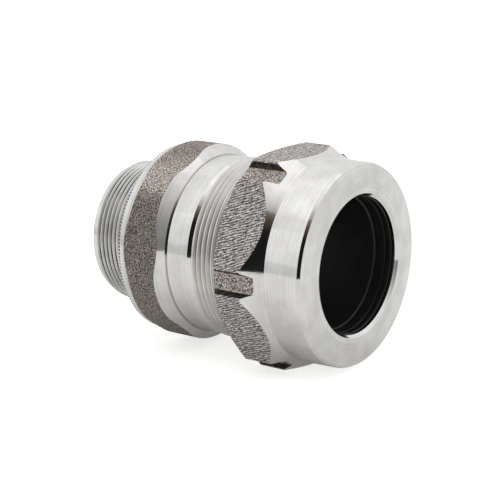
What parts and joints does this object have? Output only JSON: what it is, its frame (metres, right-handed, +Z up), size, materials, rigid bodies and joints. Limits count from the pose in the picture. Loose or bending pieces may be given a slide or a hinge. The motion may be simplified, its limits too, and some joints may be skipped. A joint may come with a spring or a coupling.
{
  "type": "cable gland",
  "caption": "Aluminium cable gland for metal-clad cable: hexagon body with a tapered hub thread, notched hexagon gland nut, and a rubber seal and earthing ring inside.",
  "frame": {"origin": "on the gland's axis, in the plane of the shoulder that seats against the enclosure, where the hub thread ends", "axes": "+X along the axis from the hub thread to the cable mouth, +Z up with a flat of the nut underneath, +Y across"},
  "size_m": [0.1149, 0.0908, 0.0846],
  "materials": {
    "cast_aluminium": "cast hexagon, turned barrel and threads",
    "cast_aluminium_nut": "cast flats and notches, turned cone, collar and face",
    "black_acetal": "smooth",
    "black_neoprene": "matt moulded",
    "zinc_steel": "zinc plated",
    "stainless_steel": "pressed and slotted",
    "grey_pvc": "moulded"
  },
  "bodies": {
    "body": {"gland_body": "cast_aluminium", "end_stop": "grey_pvc"},
    "seat": {"grounding_ring": "stainless_steel", "compression_washer": "zinc_steel"},
    "pusher": {"slip_ring": "black_acetal", "sealing_bushing": "black_neoprene"},
    "nut": {"gland_nut": "cast_aluminium_nut"}
  },
  "joints": [
    {"name": "seat_slide", "type": "slide", "parent": "body", "child": "seat", "axis": [1, 0, 0], "range_m": [-0.0024, 0.0015]},
    {"name": "pusher_slide", "type": "slide", "parent": "body", "child": "pusher", "axis": [1, 0, 0], "range_m": [-0.0058, 0.0036], "deforming": ["sealing_bushing"]},
    {"name": "nut_turn", "type": "hinge", "parent": "pusher", "child": "nut", "pos_m": [0.061, 0, 0], "axis": [1, 0, 0], "range_deg": [-900, 540]}
  ],
  "couplings": [
    {"joint": "pusher_slide", "follows": "nut_turn", "m_per_rad": 0.0003675},
    {"joint": "seat_slide", "follows": "nut_turn", "m_per_rad": 0.000147}
  ]
}
